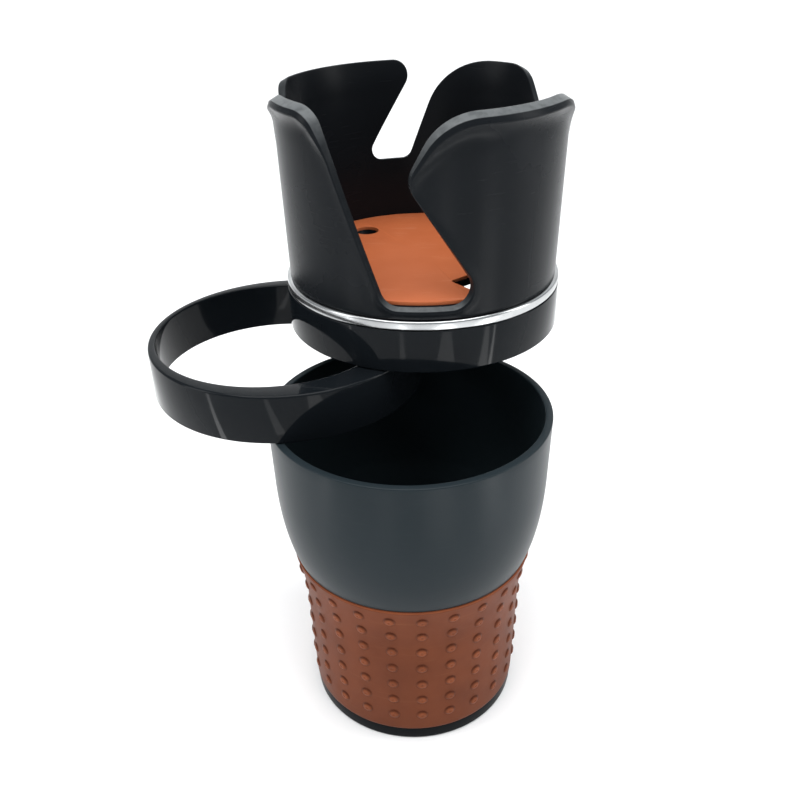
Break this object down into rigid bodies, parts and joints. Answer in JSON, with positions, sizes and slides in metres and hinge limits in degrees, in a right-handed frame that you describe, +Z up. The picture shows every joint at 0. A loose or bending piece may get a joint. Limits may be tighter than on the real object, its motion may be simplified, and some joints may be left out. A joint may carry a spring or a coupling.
{
  "type": "car cup holder",
  "caption": "Swing-out car cup holder: a base cup with a grip sleeve, a ring arm that swings over its rim, and a clawed upper cup that swings on the ring.",
  "frame": {"origin": "centre of the foot's flat underside, on the base cup's axis", "axes": "+Z up along the base cup's axis, +Y towards the back where the upper cup stands, +X to the right as seen from the front"},
  "size_m": [0.1333, 0.1258, 0.1987],
  "materials": {
    "satin_dark": "satin",
    "gloss_dark": "gloss",
    "bright": "mirror",
    "cup_plastic": "satin",
    "sleeve_rubber": "matt",
    "mat_rubber": "matt",
    "steel": "satin",
    "washer_plastic": "satin"
  },
  "bodies": {
    "base": {"base_cup": "satin_dark", "grip_sleeve": "sleeve_rubber", "base_pivot_screw": "steel", "base_flat_washer": "steel", "base_disc_spring": "steel", "base_thrust_washer": "washer_plastic"},
    "ring": {"ring_arm": "gloss_dark", "cup_pivot_screw": "steel", "cup_flat_washer": "steel", "cup_disc_spring": "steel", "cup_thrust_washer": "washer_plastic"},
    "cup": {"collar": "gloss_dark", "bright_band": "bright", "upper_cup": "cup_plastic", "cup_mat": "mat_rubber", "collar_screws": "steel"}
  },
  "joints": [
    {"name": "ring_swing", "type": "hinge", "parent": "base", "child": "ring", "pos_m": [-0.0037, 0.03913, 0.1088], "axis": [0, 0, 1], "continuous": true},
    {"name": "cup_swing", "type": "hinge", "parent": "ring", "child": "cup", "pos_m": [-0.00905, -0.001, 0.1247], "axis": [0, 0, 1], "continuous": true}
  ]
}
